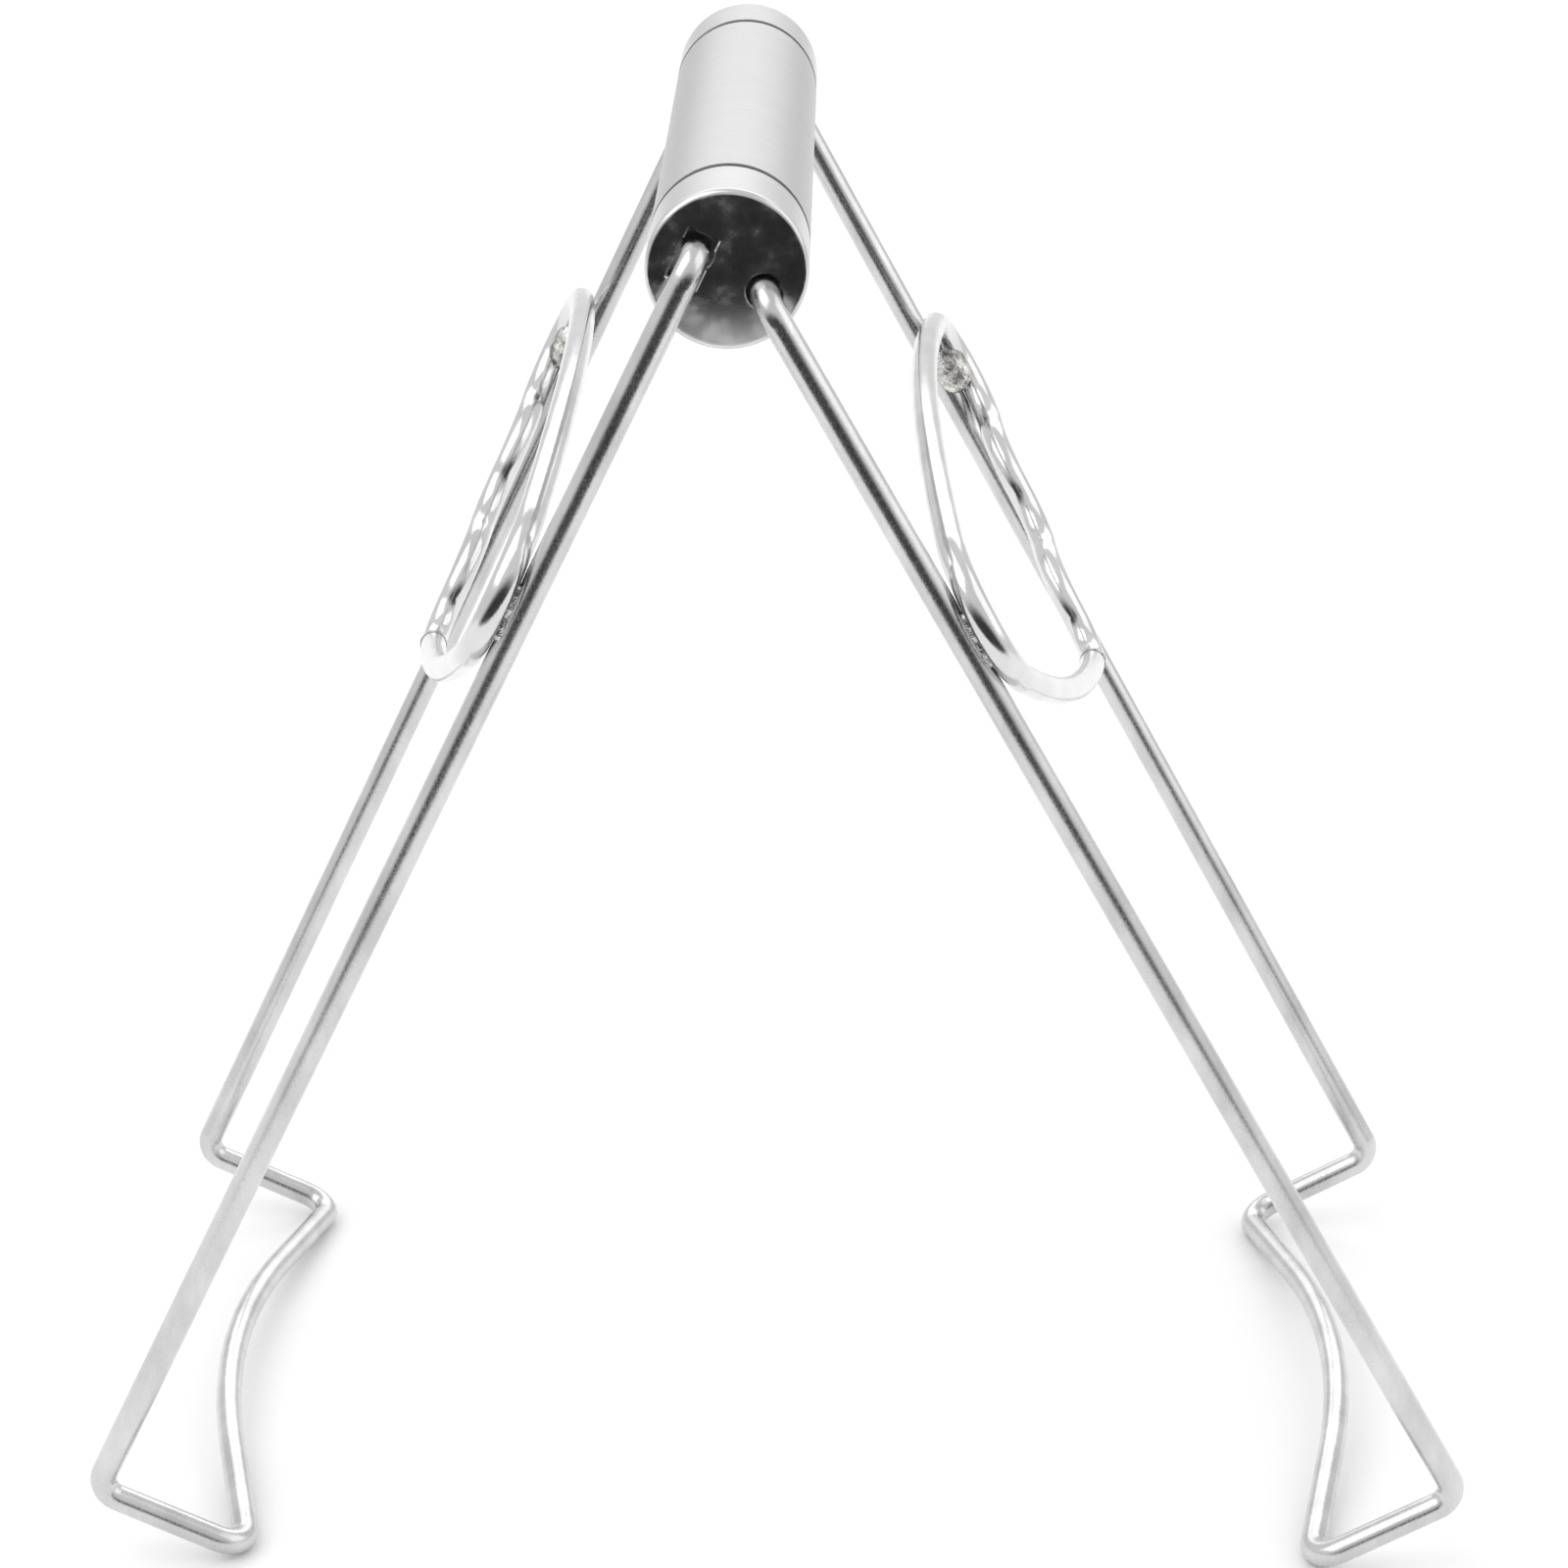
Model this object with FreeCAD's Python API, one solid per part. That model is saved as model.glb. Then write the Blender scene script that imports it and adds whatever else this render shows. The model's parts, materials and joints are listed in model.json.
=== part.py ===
"""Jar lifter: a steel tube handle that carries two sprung-wire gripping frames.

One frame is keyed to the handle's end caps, the other swings in round holes beside it.
Each frame carries a finger ring on its outer side. All sizes are in millimetres.

Row frame: X across the two frames, Y along the handle (the front cap faces -Y), Z up.
The origin is on the floor, in the middle of the footprint, with both frames spread open.
"""
import FreeCAD, Part
import math
import os

Vector = FreeCAD.Vector

# ---------------------------------------------------------------- driving dimensions
# Handle
HANDLE_LENGTH = 124.0
HANDLE_RADIUS = 11.0
TUBE_WALL = 1.0
CAP_LENGTH = 13.0
CAP_FACE_THICKNESS = 1.2
CAP_RIM_ROUND = 0.9
GROOVE_WIDTH = 1.9
PLUG_RECESS = 3.0             # air gap between the cap's face and the plug
PLUG_LENGTH = 19.0
PLUG_CLEARANCE = 0.03
PLUG_CHAMFER = 0.6
COLLAR_RADIUS = 10.7          # the plug's collar stands in the groove, just below the tube
COLLAR_GAP = 0.35             # from the collar to the cap, and to the tube

# Wire frames
WIRE_RADIUS = 2.0
HOLE_LINE_ROLL = 30.0         # degrees that the line through both holes falls to the right
KEYED_HOLE_OFFSET = 4.8       # keyed wire's axis, from the handle's axis
SWINGING_HOLE_OFFSET = 5.8    # swinging wire's axis, from the handle's axis
LEFT_SPREAD = 25.3            # degrees that the keyed frame leans from upright
LEG_LENGTH = 214.8            # from the pivot axis to the foot
LEG_TOP_Y = HANDLE_LENGTH / 2 + 3.2
LEG_FOOT_Y = 56.4             # the legs draw together towards the feet
FOOT_LENGTH = 24.9            # the step inwards from each leg to the jaw
JAW_SAG = 10.3                # how far the jaw curves back in its middle
JAW_ARC_RADIUS = 122.8
STUB_BEND_RADIUS = 3.6
FOOT_BEND_RADIUS = 3.5
JAW_CORNER_RADIUS = 4.0
TAIL_BEND_RADIUS = 2.6

# Holes in the cap faces and bearings in the plugs
FACE_HOLE_RADIUS = 2.5
SLOT_WIDTH = 4.4
SLOT_ABOVE_AXIS = 2.7
SLOT_BELOW_AXIS = 4.6
KEYHOLE_REACH = 8.0           # no hole edge is longer than twice this
HOLE_CHAMFER = 0.2
FLAT_TOLERANCE = 0.01
BEARING_CLEARANCE = 0.05
KEYED_CLEARANCE = 0.02

# Retaining tail at each end of the swinging frame
TAIL_LENGTH = 8.2
TAIL_SETBACK = 0.7            # gap between the plug's inner face and the tail
TAIL_STOP_GAP = 0.3           # gap to the keyed wire at full opening
STUB_OVERREACH = 3.0          # the keyed wire runs this far past the tail

# Finger rings
RING_GAP = 0.05               # ring wire to leg wire, bridged by the welds
RING_TOP_DROP = 39.5          # from the pivot axis down the leg to the ring's top bar
RING_TOP_TURN = 22.0          # degrees that the slightly bowed top bar curves through
RING_FRONT_REACH = 64.5       # the ring's foremost centre-line point, ahead of mid handle
RING_FRONT_RADIUS = 11.5
RING_APEX_RADIUS = 7.0
RING_REAR_RADIUS = 10.0
LOWER_SIDE_START = 150.0      # headings, in degrees from the handle's front direction
LOWER_SIDE_END = 168.0
GROOVE_AXIS = 224.0           # heading of the side with the finger grooves
GROOVE_SWING = 38.0           # the grooves swing this far either side of that heading
GROOVE_PITCH = 24.8
SEAM_BEAD_HEIGHT = 0.12
SEAM_BEAD_LENGTH = 1.3

# Weld beads between ring and legs
FRONT_WELD_RADIUS = 1.5
FRONT_WELD_LENGTH = 9.0
REAR_WELD_RADIUS = 3.1
REAR_WELD_LENGTH = 8.0
WELD_ROUNDING = 0.75          # part of a lump's radius that its ends are rounded by
FRONT_WELD_DROP = 56.5        # from the pivot axis down the leg
REAR_WELD_DROP = 54.5

# ---------------------------------------------------------------- worked-out dimensions
LEFT, RIGHT = -1, 1
FRONT, REAR = -1, 1
HOLE_OFFSET = {LEFT: KEYED_HOLE_OFFSET, RIGHT: SWINGING_HOLE_OFFSET}
HALF_HANDLE = HANDLE_LENGTH / 2
CAP_INNER_Y = HALF_HANDLE - CAP_LENGTH
TUBE_END_Y = CAP_INNER_Y - GROOVE_WIDTH
CAP_FLOOR_Y = HALF_HANDLE - CAP_FACE_THICKNESS
PLUG_OUTER_Y = CAP_FLOOR_Y - PLUG_RECESS
PLUG_INNER_Y = PLUG_OUTER_Y - PLUG_LENGTH
BORE_RADIUS = HANDLE_RADIUS - TUBE_WALL
TAIL_Y = PLUG_INNER_Y - TAIL_SETBACK - WIRE_RADIUS
STUB_END_Y = TAIL_Y - WIRE_RADIUS - STUB_OVERREACH
RING_OFFSET = -(2 * WIRE_RADIUS + RING_GAP)


def degrees_vector(angle):
    """Unit vector in the X-Z plane, counted from +X towards +Z."""
    turn = math.radians(angle)
    return Vector(math.cos(turn), 0, math.sin(turn))


def jaw_slope():
    """Angle of the jaw's straight ends to the handle, for the wanted sag."""
    low, high = 0.0, math.radians(60)
    for _ in range(60):
        middle = (low + high) / 2
        arc_lift = JAW_ARC_RADIUS * (1 / math.cos(middle) - 1)
        if LEG_FOOT_Y * math.tan(middle) - arc_lift < JAW_SAG:
            low = middle
        else:
            high = middle
    return low


JAW_SLOPE = jaw_slope()
# The jaw corner's bend turns by more than a right angle, so its centre line
# reaches furthest inwards where it runs parallel to the handle.
CORNER_SETBACK = JAW_CORNER_RADIUS * math.tan((math.pi / 2 + JAW_SLOPE) / 2)
JAW_REACH = FOOT_LENGTH - CORNER_SETBACK + JAW_CORNER_RADIUS


def pivot(side):
    """Point of a frame's pivot axis in the handle's cross-section."""
    return degrees_vector(-HOLE_LINE_ROLL) * (side * HOLE_OFFSET[side])


def floor_level():
    """Height of the keyed frame's lowest wire surface, from the handle's axis."""
    angle = math.radians(LEFT_SPREAD)
    drop = LEG_LENGTH * math.cos(angle) + JAW_REACH * math.sin(angle)
    return pivot(LEFT).z - drop - WIRE_RADIUS


FLOOR_LEVEL = floor_level()


def right_spread():
    """Lean of the swinging frame that brings its jaw down to the same floor."""
    drop = pivot(RIGHT).z - FLOOR_LEVEL - WIRE_RADIUS
    reach = math.hypot(LEG_LENGTH, JAW_REACH)
    lean = math.acos(drop / reach) + math.atan2(JAW_REACH, LEG_LENGTH)
    return math.degrees(lean)


SPREAD = {LEFT: LEFT_SPREAD, RIGHT: right_spread()}


def leg_direction(side):
    """From the pivot down the leg."""
    return degrees_vector(-90 + side * SPREAD[side])


def inward_direction(side):
    """From the leg towards the jar, square to the leg."""
    return degrees_vector(-90 - side * (90 - SPREAD[side]))


def foot_reach(side):
    """Furthest X of a frame's wire surface, at the bend into the foot."""
    centre = (pivot(side)
              + leg_direction(side) * (LEG_LENGTH - FOOT_BEND_RADIUS)
              + inward_direction(side) * FOOT_BEND_RADIUS)
    return centre.x + side * (FOOT_BEND_RADIUS + WIRE_RADIUS)


HANDLE_AXIS = Vector(-(foot_reach(LEFT) + foot_reach(RIGHT)) / 2, 0, -FLOOR_LEVEL)


# ---------------------------------------------------------------- wire bending tools
def rounded_wire(points, radii):
    """Wire through straight runs, with an arc of the given radius at each inner point."""
    edges = []
    start = points[0]
    for before, corner, after, radius in zip(points, points[1:], points[2:], radii):
        run_in = (before - corner).normalize()
        run_out = (after - corner).normalize()
        half_angle = run_in.getAngle(run_out) / 2
        setback = radius / math.tan(half_angle)
        bisector = (run_in + run_out).normalize()
        centre = corner + bisector * (radius / math.sin(half_angle))
        arc_start = corner + run_in * setback
        arc_end = corner + run_out * setback
        arc_middle = centre - bisector * radius
        edges.append(Part.LineSegment(start, arc_start).toShape())
        edges.append(Part.Arc(arc_start, arc_middle, arc_end).toShape())
        start = arc_end
    edges.append(Part.LineSegment(start, points[-1]).toShape())
    return Part.Wire(edges)


def round_bar(path, radius):
    """Solid bar of round section along a wire of tangent lines and arcs."""
    first = path.Edges[0]
    start = first.valueAt(first.FirstParameter)
    heading = first.tangentAt(first.FirstParameter)
    section = Part.Wire(Part.Circle(start, heading, radius).toShape())
    sweep = Part.BRepOffsetAPI.MakePipeShell(path)
    sweep.add(section, False, False)
    sweep.build()
    sweep.makeSolid()
    return sweep.shape()


def cylinder_y(radius, low_y, high_y, centre=Vector(0, 0, 0)):
    """Round bar parallel to the handle."""
    base = Vector(centre.x, low_y, centre.z)
    return Part.makeCylinder(radius, high_y - low_y, base, Vector(0, 1, 0))


# ---------------------------------------------------------------- handle
def handle_tube():
    outer = cylinder_y(HANDLE_RADIUS, -TUBE_END_Y, TUBE_END_Y)
    bore = cylinder_y(BORE_RADIUS, -TUBE_END_Y, TUBE_END_Y)
    return outer.cut(bore)


def key_slot(depth):
    """Slot beside the keyed wire's hole, along that wire's leg."""
    length = SLOT_ABOVE_AXIS + SLOT_BELOW_AXIS
    down = leg_direction(LEFT)
    across = Vector(-down.z, 0, down.x)
    corner = pivot(LEFT) - down * SLOT_ABOVE_AXIS - across * (SLOT_WIDTH / 2)
    corner.y = -HALF_HANDLE - depth
    outline = [corner,
               corner + across * SLOT_WIDTH,
               corner + across * SLOT_WIDTH + down * length,
               corner + down * length,
               corner]
    face = Part.Face(Part.makePolygon(outline))
    return face.extrude(Vector(0, 2 * depth, 0))


def front_cap():
    """Drawn cup over the plug: a round hole, and a hole with a key slot."""
    shell = cylinder_y(HANDLE_RADIUS, -HALF_HANDLE, -CAP_INNER_Y)
    face_rim = [edge for edge in shell.Edges
                if edge.Closed and edge.CenterOfMass.y < -CAP_FLOOR_Y]
    shell = shell.makeFillet(CAP_RIM_ROUND, face_rim)
    hollow = cylinder_y(BORE_RADIUS, -CAP_FLOOR_Y, -CAP_INNER_Y)
    cut_depth = 2 * CAP_FACE_THICKNESS
    cup = shell.cut(hollow).cut(key_slot(cut_depth))
    for side in (LEFT, RIGHT):
        hole = cylinder_y(FACE_HOLE_RADIUS, -HALF_HANDLE - cut_depth,
                          -HALF_HANDLE + cut_depth, pivot(side))
        cup = cup.cut(hole)
    hole_rims = [edge for edge in cup.Edges
                 if edge.BoundBox.YMax < -HALF_HANDLE + FLAT_TOLERANCE
                 and edge.BoundBox.DiagonalLength < 2 * KEYHOLE_REACH]
    return cup.makeChamfer(HOLE_CHAMFER, hole_rims)


def front_plug():
    """Solid plug that joins cap and tube, spaces them with its collar, and carries both wires."""
    radius = BORE_RADIUS - PLUG_CLEARANCE
    plug = cylinder_y(radius, -PLUG_OUTER_Y, -PLUG_INNER_Y)
    plug = plug.makeChamfer(PLUG_CHAMFER, [e for e in plug.Edges if e.Closed])
    collar = cylinder_y(COLLAR_RADIUS, -CAP_INNER_Y + COLLAR_GAP, -TUBE_END_Y - COLLAR_GAP)
    plug = plug.fuse(collar)
    keyed = cylinder_y(WIRE_RADIUS + KEYED_CLEARANCE, -HALF_HANDLE, 0, pivot(LEFT))
    bearing = cylinder_y(WIRE_RADIUS + BEARING_CLEARANCE, -HALF_HANDLE, 0, pivot(RIGHT))
    return plug.cut(keyed).cut(bearing)


def mirrored_to_rear(shape):
    return shape.mirror(Vector(0, 0, 0), Vector(0, 1, 0))


# ---------------------------------------------------------------- wire frames
def frame_point(side, down, inward, y):
    point = pivot(side) + leg_direction(side) * down + inward_direction(side) * inward
    return point + Vector(0, y, 0)


def tail_direction():
    """Direction of the swinging frame's tails at full opening.

    The tail's corner then stands TAIL_STOP_GAP from the keyed wire.
    """
    to_keyed = 180 - HOLE_LINE_ROLL
    spacing = KEYED_HOLE_OFFSET + SWINGING_HOLE_OFFSET
    contact = WIRE_RADIUS + TAIL_STOP_GAP
    lean = 0.0
    step = 0.05
    while True:
        turn = math.radians(lean)
        corner_out = TAIL_LENGTH * math.cos(turn) + WIRE_RADIUS * math.sin(turn)
        corner_up = TAIL_LENGTH * math.sin(turn) - WIRE_RADIUS * math.cos(turn)
        beside_wire = TAIL_LENGTH * math.cos(turn) > spacing
        gap = math.hypot(spacing - corner_out, corner_up)
        if corner_up > 0 and gap > contact and not beside_wire:
            return degrees_vector(to_keyed - lean)
        lean += step


def frame_path(side):
    """Centre line of one frame's wire, from the front stub round to the rear stub."""
    jaw_middle = FOOT_LENGTH - LEG_FOOT_Y * math.tan(JAW_SLOPE)
    half = [frame_point(side, 0, 0, -LEG_TOP_Y),
            frame_point(side, LEG_LENGTH, 0, -LEG_FOOT_Y),
            frame_point(side, LEG_LENGTH, FOOT_LENGTH, -LEG_FOOT_Y)]
    bends = [STUB_BEND_RADIUS, FOOT_BEND_RADIUS, JAW_CORNER_RADIUS]
    if side == LEFT:
        half.insert(0, frame_point(side, 0, 0, -STUB_END_Y))
    else:
        inner_bend = frame_point(side, 0, 0, -TAIL_Y)
        half.insert(0, inner_bend)
        half.insert(0, inner_bend + tail_direction() * TAIL_LENGTH)
        bends.insert(0, TAIL_BEND_RADIUS)
    rear_half = [Vector(point.x, -point.y, point.z) for point in reversed(half)]
    points = half + [frame_point(side, LEG_LENGTH, jaw_middle, 0)] + rear_half
    return rounded_wire(points, bends + [JAW_ARC_RADIUS] + bends[::-1])


# ---------------------------------------------------------------- finger rings
def arc_step(start, radius, heading_in, heading_out):
    """End point of an arc in the ring's plane; a falling heading bends the other way."""
    turn_in = math.radians(heading_in)
    turn_out = math.radians(heading_out)
    bend = radius if heading_out > heading_in else -radius
    ahead = start[0] + bend * (math.sin(turn_out) - math.sin(turn_in))
    down = start[1] + bend * (math.cos(turn_in) - math.cos(turn_out))
    return ahead, down


def ring_runs():
    """The ring's arcs in order, as (radius, heading in, heading out).

    Headings are in degrees from the handle's front direction towards the foot. The
    large radii of the top bar and of the lower side are the ones that close the ring.
    """
    outward = GROOVE_AXIS - GROOVE_SWING
    inward = GROOVE_AXIS + GROOVE_SWING
    groove_radius = GROOVE_PITCH / (4 * math.sin(math.radians(GROOVE_SWING)))
    top_lean = RING_TOP_TURN / 2
    bends = [(RING_FRONT_RADIUS, top_lean, LOWER_SIDE_START),
             (RING_APEX_RADIUS, LOWER_SIDE_END, inward),
             (groove_radius, inward, outward),
             (groove_radius, outward, inward),
             (groove_radius, inward, outward),
             (RING_REAR_RADIUS, outward, 360 - top_lean)]
    ahead, down = 0.0, 0.0
    for bend in bends:
        ahead, down = arc_step((ahead, down), *bend)
    top_ahead, top_down = arc_step((0, 0), 1.0, -top_lean, top_lean)
    low_ahead, low_down = arc_step((0, 0), 1.0, LOWER_SIDE_START, LOWER_SIDE_END)
    area = top_ahead * low_down - top_down * low_ahead
    top_radius = (down * low_ahead - ahead * low_down) / area
    low_radius = (ahead * top_down - down * top_ahead) / area
    top_bar = (top_radius, -top_lean, top_lean)
    lower_side = (low_radius, LOWER_SIDE_START, LOWER_SIDE_END)
    return [top_bar, bends[0], lower_side] + bends[1:]


def ring_point(ahead, down):
    return frame_point(LEFT, down, RING_OFFSET, -ahead)


def ring_path():
    """Closed centre line of the left finger ring: top bar, then round by front and foot."""
    runs = ring_runs()
    top_radius, start_heading, end_heading = runs[0]
    drop = top_radius * (1 - math.cos(math.radians(start_heading)))
    lean = math.sin(math.radians(end_heading))
    reach = 2 * top_radius * lean + RING_FRONT_RADIUS * (1 - lean)
    point = (RING_FRONT_REACH - reach, RING_TOP_DROP + drop)
    edges = []
    for radius, heading_in, heading_out in runs:
        middle = arc_step(point, radius, heading_in, (heading_in + heading_out) / 2)
        end = arc_step(point, radius, heading_in, heading_out)
        places = [ring_point(*place) for place in (point, middle, end)]
        edges.append(Part.Arc(*places).toShape())
        point = end
    return Part.Wire(edges)


def seam_bead(ring):
    """Collar where the ring's two wire ends are butt-welded, low on the lower side."""
    lower_side = ring_path().Edges[2]
    end = lower_side.LastParameter
    heading = lower_side.tangentAt(end)
    start = lower_side.valueAt(end) - heading * (SEAM_BEAD_LENGTH / 2)
    collar = Part.makeCylinder(WIRE_RADIUS + SEAM_BEAD_HEIGHT, SEAM_BEAD_LENGTH, start, heading)
    return collar.cut(ring)


def leg_y(down):
    """Distance of a leg's centre line from mid handle, at a depth down the leg."""
    return LEG_TOP_Y + (LEG_FOOT_Y - LEG_TOP_Y) * down / LEG_LENGTH


def weld_bead(end, down, radius, length, frame, ring):
    """Lump of weld in the corner between a leg of the left frame and its ring."""
    along = leg_direction(LEFT)
    centre = frame_point(LEFT, down, RING_OFFSET / 2, end * leg_y(down))
    lump = Part.makeCylinder(radius, length, centre - along * (length / 2), along)
    rims = [edge for edge in lump.Edges if edge.Closed]
    lump = lump.makeFillet(radius * WELD_ROUNDING, rims)
    return lump.cut([frame, ring])


def on_right_frame(shape):
    """The same piece on the swinging frame: mirrored, then leaned out to its spread."""
    twin = shape.mirror(pivot(LEFT), Vector(1, 0, 0))
    twin.translate(pivot(RIGHT) - pivot(LEFT))
    twin.rotate(pivot(RIGHT), Vector(0, 1, 0), SPREAD[LEFT] - SPREAD[RIGHT])
    return twin


def main():
    left_frame = round_bar(frame_path(LEFT), WIRE_RADIUS)
    ring = round_bar(ring_path(), WIRE_RADIUS)
    ring_pieces = {"finger_ring": ring,
                   "ring_seam_weld": seam_bead(ring),
                   "front_ring_weld": weld_bead(FRONT, FRONT_WELD_DROP, FRONT_WELD_RADIUS,
                                                FRONT_WELD_LENGTH, left_frame, ring),
                   "rear_ring_weld": weld_bead(REAR, REAR_WELD_DROP, REAR_WELD_RADIUS,
                                               REAR_WELD_LENGTH, left_frame, ring)}
    parts = {"handle_tube": handle_tube(),
             "front_end_cap": front_cap(),
             "rear_end_cap": mirrored_to_rear(front_cap()),
             "front_bearing_plug": front_plug(),
             "rear_bearing_plug": mirrored_to_rear(front_plug()),
             "left_wire_frame": left_frame,
             "right_wire_frame": round_bar(frame_path(RIGHT), WIRE_RADIUS)}
    for name, shape in ring_pieces.items():
        parts["left_" + name] = shape
        parts["right_" + name] = on_right_frame(shape)
    os.makedirs("parts", exist_ok=True)
    for name, shape in parts.items():
        placed = shape.copy()
        placed.translate(HANDLE_AXIS)
        placed.exportStep("parts/" + name + ".step")
        print(name, "valid", placed.isValid(), "solids", len(placed.Solids),
              "volume %.1f" % placed.Volume)


main()
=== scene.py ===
"""Looks, light and camera for the jar lifter. Distances are in metres, in the CAD frame."""

import json
import math

import bmesh
import bpy
from mathutils import Matrix, Vector


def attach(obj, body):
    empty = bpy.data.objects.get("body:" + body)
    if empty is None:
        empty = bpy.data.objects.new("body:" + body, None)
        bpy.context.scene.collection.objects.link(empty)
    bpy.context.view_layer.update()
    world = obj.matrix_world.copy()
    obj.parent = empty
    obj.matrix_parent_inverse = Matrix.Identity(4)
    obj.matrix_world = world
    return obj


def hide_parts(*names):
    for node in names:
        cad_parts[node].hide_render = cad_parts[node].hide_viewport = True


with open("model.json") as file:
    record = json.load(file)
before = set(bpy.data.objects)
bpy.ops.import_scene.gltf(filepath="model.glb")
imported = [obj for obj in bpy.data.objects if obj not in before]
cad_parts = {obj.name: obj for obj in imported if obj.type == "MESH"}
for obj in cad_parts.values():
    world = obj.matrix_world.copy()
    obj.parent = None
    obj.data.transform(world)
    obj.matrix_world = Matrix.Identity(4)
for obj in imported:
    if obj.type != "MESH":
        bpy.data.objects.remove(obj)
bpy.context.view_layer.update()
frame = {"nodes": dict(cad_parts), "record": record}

# ---------------------------------------------------------------- places on the part
HANDLE_Z = 0.20396
HANDLE_RADIUS = 0.011
CAP_FACE_Y = 0.062
FRAMES = {"left": {"side": -1, "spread": 25.3, "body": "handle_and_left_frame",
                   "pivot": Vector((-0.01108685, 0, 0.20635982))},
          "right": {"side": 1, "spread": 29.23, "body": "right_frame",
                    "pivot": Vector((-0.00190698, 0, 0.20105982))}}

# ---------------------------------------------------------------- finger rings
WIRE_RADIUS = 0.002
RING_OFFSET = -0.00405        # from the leg's centre line, outwards
RING_TOP_DROP = 0.0395        # from the pivot down the leg to the top bar
RING_TOP_TURN = 22.0          # all headings are in degrees
RING_FRONT_REACH = 0.0645
RING_FRONT_RADIUS = 0.0115
RING_APEX_RADIUS = 0.007
RING_REAR_RADIUS = 0.010
LOWER_SIDE_START = 150.0
LOWER_SIDE_END = 168.0
GROOVE_AXIS = 224.0
GROOVE_SWING = 38.0
GROOVE_PITCH = 0.0248
STATION_TURN = 2.5            # degrees of bend between two sections of the wire
SECTION_SIDES = 32

# ---------------------------------------------------------------- camera
LENS_MM = 95.27
SENSOR_MM = 36.0
CAMERA_PLACE = (0.00857, -0.59834, 0.34630)
CAMERA_PITCH = 21.907         # degrees below level
CAMERA_YAW = -0.813
CAMERA_ROLL = 0.23

# ---------------------------------------------------------------- light and floor
# Each light: name, place, width, height, watts.
LIGHTS = (("key", (-1.3, -0.6, 1.9), 2.2, 2.2, 18),
          ("fill", (1.7, -0.2, 1.2), 1.8, 1.8, 6.5),
          ("back", (0.1, 2.0, 1.6), 2.6, 1.6, 13))
LIGHT_AIM = (0, 0, 0.1)
FLOOR_SIZE = 3.0
FLOOR_CENTRE = (0, 1.20, 0)
SKY_RISE = 0.9                # how much height counts against distance to the back
SKY_DARK_EDGE = -0.90
SKY_LIGHT_EDGE = -0.50
SKY_DARK = 0.06
SKY_STRENGTH = 0.80

# ---------------------------------------------------------------- surface detail
# Features per metre along X, Y and Z. Y runs along the handle.
BRUSH_LINES = (120, 9000, 120)
BRUSH_BANDS = (60, 2200, 60)
TUBE_PATCHES = (40, 60, 40)
FACE_SMUDGES = (260, 260, 260)
FACE_SPECKS = (2600, 2600, 2600)
PLUG_LINES = (40, 6000, 40)
WIRE_CLOUDS = (150, 150, 60)
WIRE_PITS = (3200, 3200, 1800)
WELD_LUMPS = (700, 700, 700)
WELD_GRAIN = (3500, 3500, 3500)
FLOOR_GRAIN = (40, 40, 1)
NOISE_LOW = 0.3               # noise mostly stays between these two values
NOISE_HIGH = 0.7
STEEL_BLUE = 0.005            # how much bluer than neutral grey the steel is
FACE_BAND_OUT = 0.0001        # the side's finish turns into the face's between these
FACE_BAND_IN = 0.0002         # two distances behind the cap's face
PAINTED_REFLECTION_TOP = 0.1        # top of the painted reflection on the cap face: part of the handle's radius, below its axis

# ---------------------------------------------------------------- material helpers


def new_material(name):
    material = bpy.data.materials.new(name)
    material.use_nodes = True
    tree = material.node_tree
    return material, tree, tree.nodes["Principled BSDF"]


def node(tree, kind, **values):
    made = tree.nodes.new(kind)
    for key, value in values.items():
        if key in made.inputs:
            made.inputs[key].default_value = value
        else:
            setattr(made, key, value)
    return made


def part_place(tree, stretch):
    """Position on the part, scaled by its own amount along each axis."""
    place = node(tree, "ShaderNodeTexCoord")
    scaled = node(tree, "ShaderNodeMapping")
    scaled.inputs["Scale"].default_value = stretch
    tree.links.new(place.outputs["Object"], scaled.inputs["Vector"])
    return scaled.outputs["Vector"]


def noise(tree, stretch, detail=3.0, roughness=0.55):
    """Noise with the given number of features per metre along each axis."""
    made = node(tree, "ShaderNodeTexNoise", Scale=1.0, Detail=detail, Roughness=roughness)
    tree.links.new(part_place(tree, stretch), made.inputs["Vector"])
    return made.outputs["Fac"]


def remap(tree, value, low_in, high_in, low_out, high_out):
    made = node(tree, "ShaderNodeMapRange")
    made.inputs["From Min"].default_value = low_in
    made.inputs["From Max"].default_value = high_in
    made.inputs["To Min"].default_value = low_out
    made.inputs["To Max"].default_value = high_out
    tree.links.new(value, made.inputs["Value"])
    return made.outputs["Result"]


def spread(tree, value, low_out, high_out):
    """Noise stretched over a range of output values."""
    return remap(tree, value, NOISE_LOW, NOISE_HIGH, low_out, high_out)


def steel(level):
    return (level, level, level + STEEL_BLUE)


def bump(tree, shader, height, strength, distance):
    made = node(tree, "ShaderNodeBump", Strength=strength, Distance=distance)
    tree.links.new(height, made.inputs["Height"])
    tree.links.new(made.outputs["Normal"], shader.inputs["Normal"])


def mix_colours(tree, factor, first, second):
    made = node(tree, "ShaderNodeMix", data_type="RGBA")
    for socket, colour in ((made.inputs[6], first), (made.inputs[7], second)):
        if isinstance(colour, tuple):
            socket.default_value = (*colour, 1.0)
        else:
            tree.links.new(colour, socket)
    tree.links.new(factor, made.inputs["Factor"])
    return made.outputs[2]


# ---------------------------------------------------------------- materials


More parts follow.
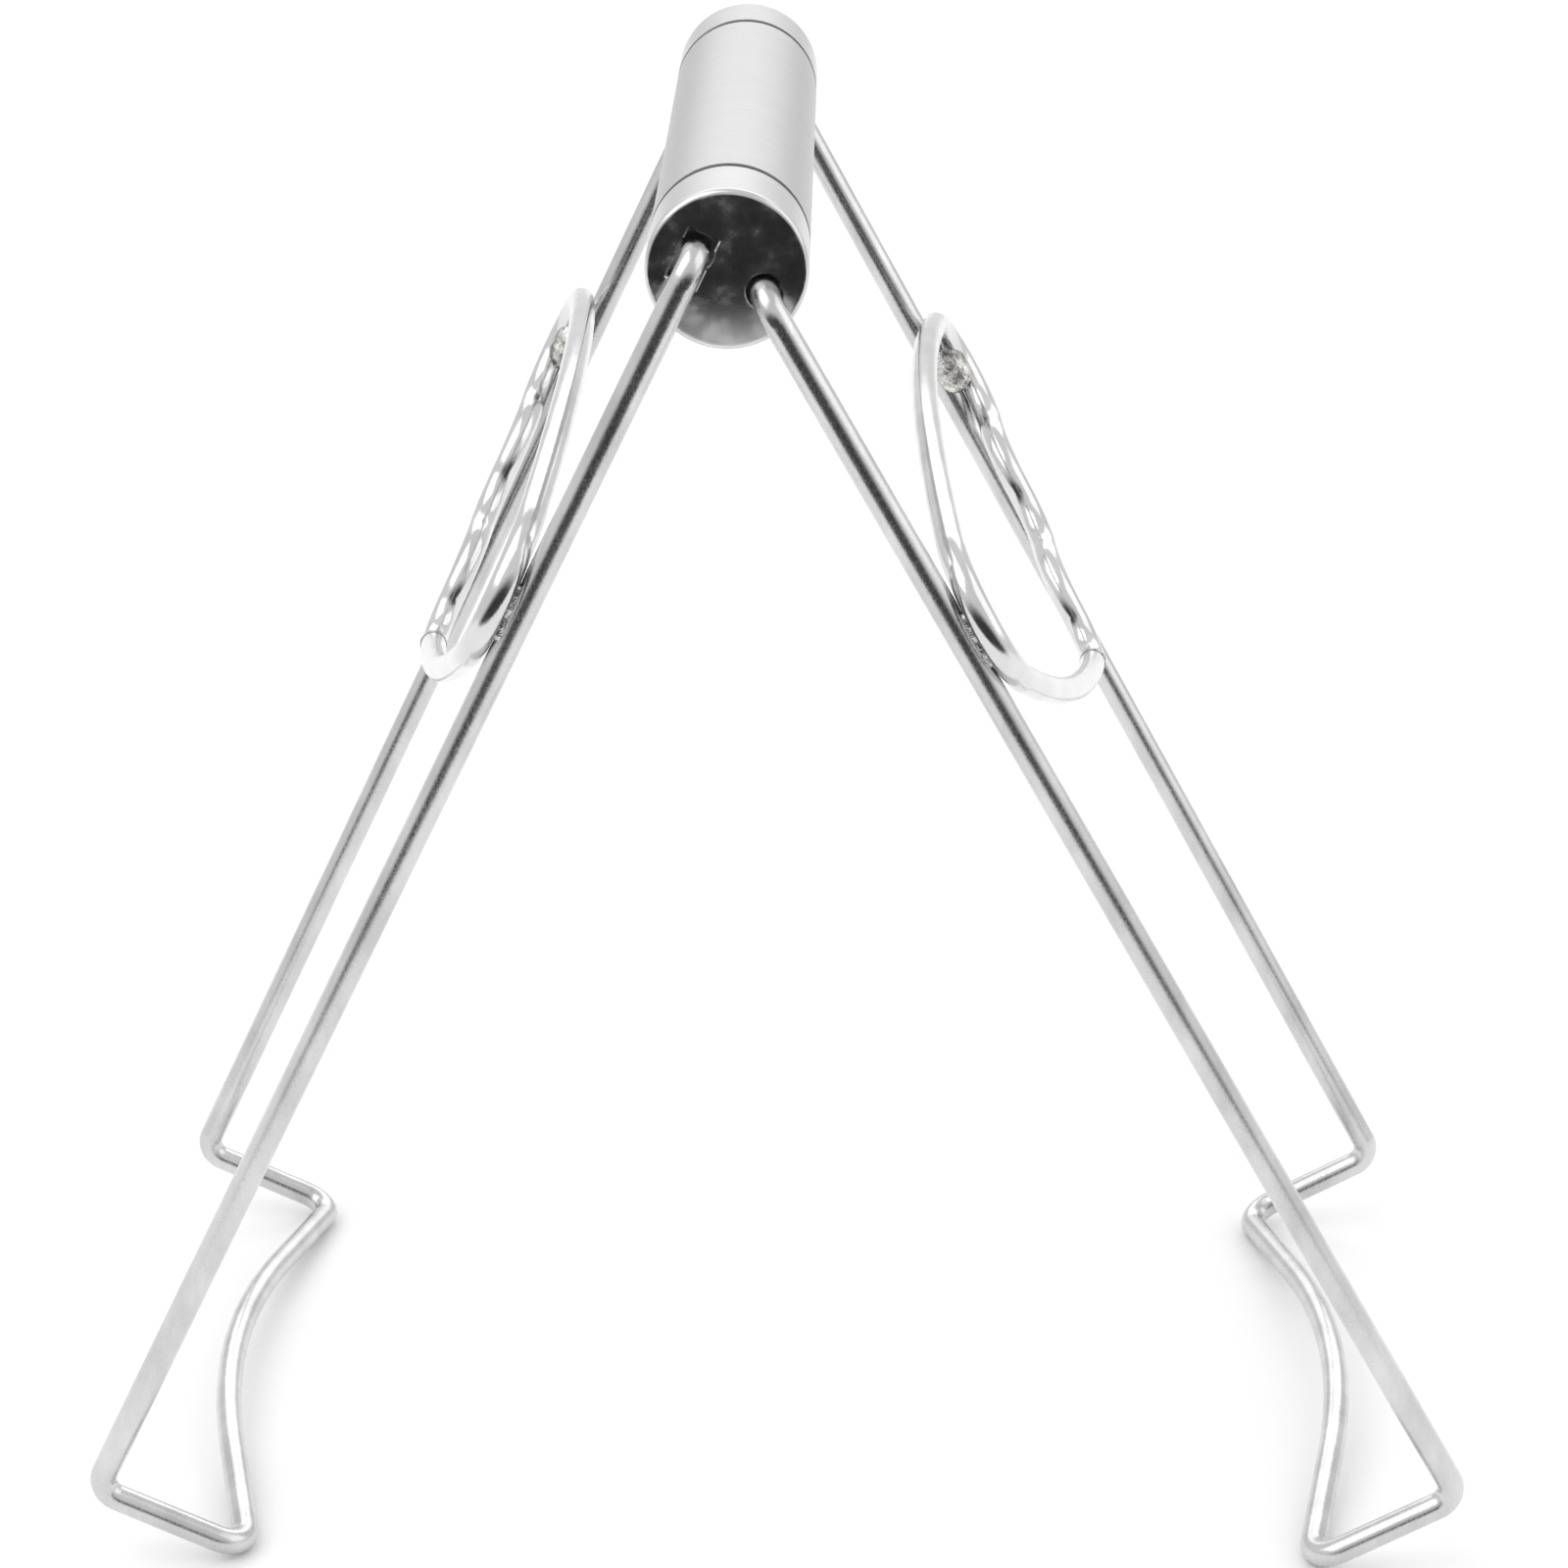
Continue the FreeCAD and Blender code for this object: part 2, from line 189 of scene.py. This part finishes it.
def brushed_tube():
    """Tube brushed round its girth: fine lines at right angles to the handle."""
    material, tree, shader = new_material("brushed_tube")
    shader.inputs["Metallic"].default_value = 1.0
    lines = noise(tree, BRUSH_LINES, detail=5.0, roughness=0.75)
    bands = noise(tree, BRUSH_BANDS, detail=2.0)
    patches = noise(tree, TUBE_PATCHES)
    colour = mix_colours(tree, spread(tree, lines, 0, 1), steel(0.51), steel(0.63))
    tree.links.new(colour, shader.inputs["Base Color"])
    rough = node(tree, "ShaderNodeMath", operation="ADD")
    tree.links.new(spread(tree, bands, 0.38, 0.48), rough.inputs[0])
    tree.links.new(spread(tree, patches, -0.02, 0.03), rough.inputs[1])
    tree.links.new(rough.outputs[0], shader.inputs["Roughness"])
    bump(tree, shader, lines, 0.30, 0.00002)
    return material


def polished_cap():
    """Cap with a finely brushed side and a dark, polished face.

    The face is made lighter and duller towards its bottom, which stands in for a reflection.
    """
    material, tree, shader = new_material("polished_cap")
    shader.inputs["Metallic"].default_value = 1.0
    place = node(tree, "ShaderNodeTexCoord")
    axes = node(tree, "ShaderNodeSeparateXYZ")
    tree.links.new(place.outputs["Object"], axes.inputs[0])
    along = node(tree, "ShaderNodeMath", operation="ABSOLUTE")
    tree.links.new(axes.outputs["Y"], along.inputs[0])
    is_face = remap(tree, along.outputs[0],
                    CAP_FACE_Y - FACE_BAND_IN, CAP_FACE_Y - FACE_BAND_OUT, 0, 1)
    lines = noise(tree, BRUSH_LINES, detail=5.0, roughness=0.75)
    smudges = noise(tree, FACE_SMUDGES, detail=4.0, roughness=0.6)
    specks = noise(tree, FACE_SPECKS, detail=1.0)
    side_colour = mix_colours(tree, spread(tree, lines, 0, 1), steel(0.58), steel(0.70))
    # Painted reflection: the bottom of the cap face is painted lighter, up to white, and made
    # duller.
    painted_reflection_mask = remap(tree, axes.outputs["Z"], HANDLE_Z - HANDLE_RADIUS,
                        HANDLE_Z - PAINTED_REFLECTION_TOP * HANDLE_RADIUS, 1, 0)
    face_colour = mix_colours(tree, remap(tree, smudges, 0.35, 0.7, 0, 1),
                              (0.42, 0.41, 0.41), (0.68, 0.67, 0.67))
    # The painted reflection is mixed into the face colour here.
    face_colour = mix_colours(tree, painted_reflection_mask, face_colour, (1.0, 1.0, 1.0))
    face_colour = mix_colours(tree, remap(tree, specks, 0.70, 0.76, 0, 0.8),
                              face_colour, (0.75, 0.75, 0.75))
    colour = mix_colours(tree, is_face, side_colour, face_colour)
    tree.links.new(colour, shader.inputs["Base Color"])
    side_rough = spread(tree, lines, 0.24, 0.34)
    face_rough = node(tree, "ShaderNodeMath", operation="ADD")
    tree.links.new(remap(tree, smudges, 0.45, 0.70, 0.07, 0.34), face_rough.inputs[0])
    tree.links.new(remap(tree, painted_reflection_mask, 0, 1, 0, 0.55), face_rough.inputs[1])
    rough = node(tree, "ShaderNodeMix", data_type="FLOAT")
    tree.links.new(is_face, rough.inputs["Factor"])
    tree.links.new(side_rough, rough.inputs[2])
    tree.links.new(face_rough.outputs[0], rough.inputs[3])
    tree.links.new(rough.outputs[0], shader.inputs["Roughness"])
    bump(tree, shader, smudges, 0.05, 0.0002)
    return material


def bearing_plug():
    """Turned steel with fine tool lines."""
    material, tree, shader = new_material("bearing_plug")
    shader.inputs["Metallic"].default_value = 1.0
    lines = noise(tree, PLUG_LINES)
    colour = mix_colours(tree, lines, (0.50, 0.50, 0.50), (0.62, 0.62, 0.62))
    tree.links.new(colour, shader.inputs["Base Color"])
    shader.inputs["Roughness"].default_value = 0.4
    bump(tree, shader, lines, 0.3, 0.00005)
    return material


def drawn_wire(name, dark, light, low_rough, high_rough):
    """Satin wire with faint pitting and shallow handling marks."""
    material, tree, shader = new_material(name)
    shader.inputs["Metallic"].default_value = 1.0
    clouds = noise(tree, WIRE_CLOUDS, detail=3.0)
    pits = noise(tree, WIRE_PITS, detail=4.0, roughness=0.7)
    colour = mix_colours(tree, spread(tree, clouds, 0, 1), dark, light)
    tree.links.new(colour, shader.inputs["Base Color"])
    tree.links.new(spread(tree, pits, low_rough, high_rough), shader.inputs["Roughness"])
    bump(tree, shader, pits, 0.22, 0.00006)
    return material


def weld_steel():
    """Weld metal: lumpy, part bright and part burnt dark."""
    material, tree, shader = new_material("weld_steel")
    shader.inputs["Metallic"].default_value = 1.0
    lumps = noise(tree, WELD_LUMPS, detail=3.0, roughness=0.6)
    grain = noise(tree, WELD_GRAIN, detail=2.0)
    colour = mix_colours(tree, remap(tree, lumps, 0.35, 0.65, 0, 1),
                         (0.22, 0.21, 0.20), (0.85, 0.84, 0.82))
    tree.links.new(colour, shader.inputs["Base Color"])
    tree.links.new(spread(tree, grain, 0.18, 0.45), shader.inputs["Roughness"])
    bump(tree, shader, lumps, 0.9, 0.0006)
    return material


FINISHES = {"brushed_tube": brushed_tube(),
            "polished_cap": polished_cap(),
            "bearing_plug": bearing_plug(),
            "frame_wire": drawn_wire("frame_wire", steel(0.56), steel(0.72), 0.16, 0.32),
            "ring_wire": drawn_wire("ring_wire", steel(0.66), steel(0.78), 0.11, 0.20),
            "weld_steel": weld_steel()}

# ---------------------------------------------------------------- smooth finger rings


def upright_vector(angle):
    """Unit vector in the X-Z plane, counted in degrees from +X towards +Z."""
    turn = math.radians(angle)
    return Vector((math.cos(turn), 0, math.sin(turn)))


def arc_step(start, radius, heading_in, heading_out):
    """End of an arc in the ring's plane; a falling heading bends the other way."""
    turn_in, turn_out = math.radians(heading_in), math.radians(heading_out)
    bend = radius if heading_out > heading_in else -radius
    return (start[0] + bend * (math.sin(turn_out) - math.sin(turn_in)),
            start[1] + bend * (math.cos(turn_in) - math.cos(turn_out)))


def ring_runs():
    """The ring's arcs in order, as (radius, heading in, heading out)."""
    outward, inward = GROOVE_AXIS - GROOVE_SWING, GROOVE_AXIS + GROOVE_SWING
    groove_radius = GROOVE_PITCH / (4 * math.sin(math.radians(GROOVE_SWING)))
    top_lean = RING_TOP_TURN / 2
    bends = [(RING_FRONT_RADIUS, top_lean, LOWER_SIDE_START),
             (RING_APEX_RADIUS, LOWER_SIDE_END, inward),
             (groove_radius, inward, outward),
             (groove_radius, outward, inward),
             (groove_radius, inward, outward),
             (RING_REAR_RADIUS, outward, 360 - top_lean)]
    ahead, down = 0.0, 0.0
    for bend in bends:
        ahead, down = arc_step((ahead, down), *bend)
    top_ahead, top_down = arc_step((0, 0), 1.0, -top_lean, top_lean)
    low_ahead, low_down = arc_step((0, 0), 1.0, LOWER_SIDE_START, LOWER_SIDE_END)
    area = top_ahead * low_down - top_down * low_ahead
    top_radius = (down * low_ahead - ahead * low_down) / area
    low_radius = (ahead * top_down - down * top_ahead) / area
    return [(top_radius, -top_lean, top_lean), bends[0],
            (low_radius, LOWER_SIDE_START, LOWER_SIDE_END)] + bends[1:]


def ring_stations():
    """Places along the ring's centre line, as (ahead, down the leg, heading)."""
    runs = ring_runs()
    top_radius, start_heading, end_heading = runs[0]
    drop = top_radius * (1 - math.cos(math.radians(start_heading)))
    lean = math.sin(math.radians(end_heading))
    reach = 2 * top_radius * lean + RING_FRONT_RADIUS * (1 - lean)
    corner = (RING_FRONT_REACH - reach, RING_TOP_DROP + drop)
    stations = []
    for radius, heading_in, heading_out in runs:
        turn = heading_out - heading_in
        count = math.ceil(abs(turn) / STATION_TURN)
        for index in range(count):
            heading = heading_in + turn * index / count
            stations.append((*arc_step(corner, radius, heading_in, heading), heading))
        corner = arc_step(corner, radius, heading_in, heading_out)
    return stations


def ring_tube(name, side, spread, body, pivot):
    """Finely divided twin of a CAD finger ring, for clean reflections."""
    down_leg = upright_vector(-90 + side * spread)
    inward = upright_vector(-90 - side * (90 - spread))
    build = bmesh.new()
    sections = []
    for ahead, down, heading in ring_stations():
        turn = math.radians(heading)
        centre = pivot + down_leg * down + inward * RING_OFFSET + Vector((0, -ahead, 0))
        across = down_leg * math.cos(turn) + Vector((0, math.sin(turn), 0))
        section = []
        for step in range(SECTION_SIDES):
            angle = 2 * math.pi * step / SECTION_SIDES
            outwards = across * math.cos(angle) + inward * math.sin(angle)
            section.append(build.verts.new(centre + outwards * WIRE_RADIUS))
        sections.append(section)
    for section, following in zip(sections, sections[1:] + sections[:1]):
        for step in range(SECTION_SIDES):
            after = (step + 1) % SECTION_SIDES
            build.faces.new((section[step], section[after], following[after], following[step]))
    bmesh.ops.recalc_face_normals(build, faces=build.faces)
    for face in build.faces:
        face.smooth = True
    mesh = bpy.data.meshes.new(name + "_ring_tube")
    build.to_mesh(mesh)
    build.free()
    tube = bpy.data.objects.new(name + "_ring_tube", mesh)
    bpy.context.collection.objects.link(tube)
    mesh.materials.append(FINISHES["ring_wire"])
    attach(tube, body)
    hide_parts(name + "_finger_ring")


for part in frame["record"]["subparts"]:
    thing = frame["nodes"][part["node"]]
    finish = FINISHES[part["material_slot"]]
    for place in thing.material_slots:
        place.material = finish
    for face in thing.data.polygons:
        face.use_smooth = True
for name, facts in FRAMES.items():
    ring_tube(name, **facts)

# ---------------------------------------------------------------- floor, light and camera


def pale_floor():
    bpy.ops.mesh.primitive_plane_add(size=1.0)
    floor = bpy.context.object
    floor.name = "floor"
    floor.scale = (FLOOR_SIZE, FLOOR_SIZE, 1.0)
    floor.location = FLOOR_CENTRE
    material, tree, shader = new_material("floor_paper")
    grain = noise(tree, FLOOR_GRAIN)
    colour = mix_colours(tree, grain, (0.94, 0.94, 0.94), (0.96, 0.96, 0.96))
    tree.links.new(colour, shader.inputs["Base Color"])
    shader.inputs["Roughness"].default_value = 0.8
    floor.data.materials.append(material)


def soft_light(name, place, width, height, watts):
    data = bpy.data.lights.new(name, "AREA")
    data.shape = "RECTANGLE"
    data.size = width
    data.size_y = height
    data.energy = watts
    light = bpy.data.objects.new(name, data)
    bpy.context.collection.objects.link(light)
    light.location = place
    heading = Vector(LIGHT_AIM) - Vector(place)
    light.rotation_euler = heading.to_track_quat("-Z", "Y").to_euler()


def sky():
    """Soft white above and behind, falling to dark towards the front of the part."""
    world = bpy.data.worlds.new("studio")
    bpy.context.scene.world = world
    world.use_nodes = True
    tree = world.node_tree
    back = tree.nodes["Background"]
    place = node(tree, "ShaderNodeTexCoord")
    axes = node(tree, "ShaderNodeSeparateXYZ")
    tree.links.new(place.outputs["Generated"], axes.inputs[0])
    upwards = node(tree, "ShaderNodeMath", operation="MULTIPLY")
    tree.links.new(axes.outputs["Z"], upwards.inputs[0])
    upwards.inputs[1].default_value = SKY_RISE
    towards_light = node(tree, "ShaderNodeMath", operation="ADD")
    tree.links.new(upwards.outputs[0], towards_light.inputs[0])
    tree.links.new(axes.outputs["Y"], towards_light.inputs[1])
    level = remap(tree, towards_light.outputs[0], SKY_DARK_EDGE, SKY_LIGHT_EDGE, SKY_DARK, 1.0)
    tree.links.new(level, back.inputs["Color"])
    back.inputs["Strength"].default_value = SKY_STRENGTH


def place_camera():
    pitch, yaw, roll = (math.radians(a) for a in (CAMERA_PITCH, CAMERA_YAW, CAMERA_ROLL))
    ahead = Vector((math.sin(yaw) * math.cos(pitch), math.cos(yaw) * math.cos(pitch),
                    -math.sin(pitch)))
    level_right = Vector((math.cos(yaw), -math.sin(yaw), 0))
    level_up = level_right.cross(ahead)
    right = level_right * math.cos(roll) + level_up * math.sin(roll)
    up = level_up * math.cos(roll) - level_right * math.sin(roll)
    data = bpy.data.cameras.new("camera")
    data.lens = LENS_MM
    data.sensor_width = SENSOR_MM
    camera = bpy.data.objects.new("camera", data)
    bpy.context.collection.objects.link(camera)
    turn = Matrix((right, up, -ahead)).transposed().to_4x4()
    camera.matrix_world = Matrix.Translation(CAMERA_PLACE) @ turn
    bpy.context.scene.camera = camera


pale_floor()
sky()
for light in LIGHTS:
    soft_light(*light)
bpy.context.scene.view_settings.view_transform = "Standard"
place_camera()
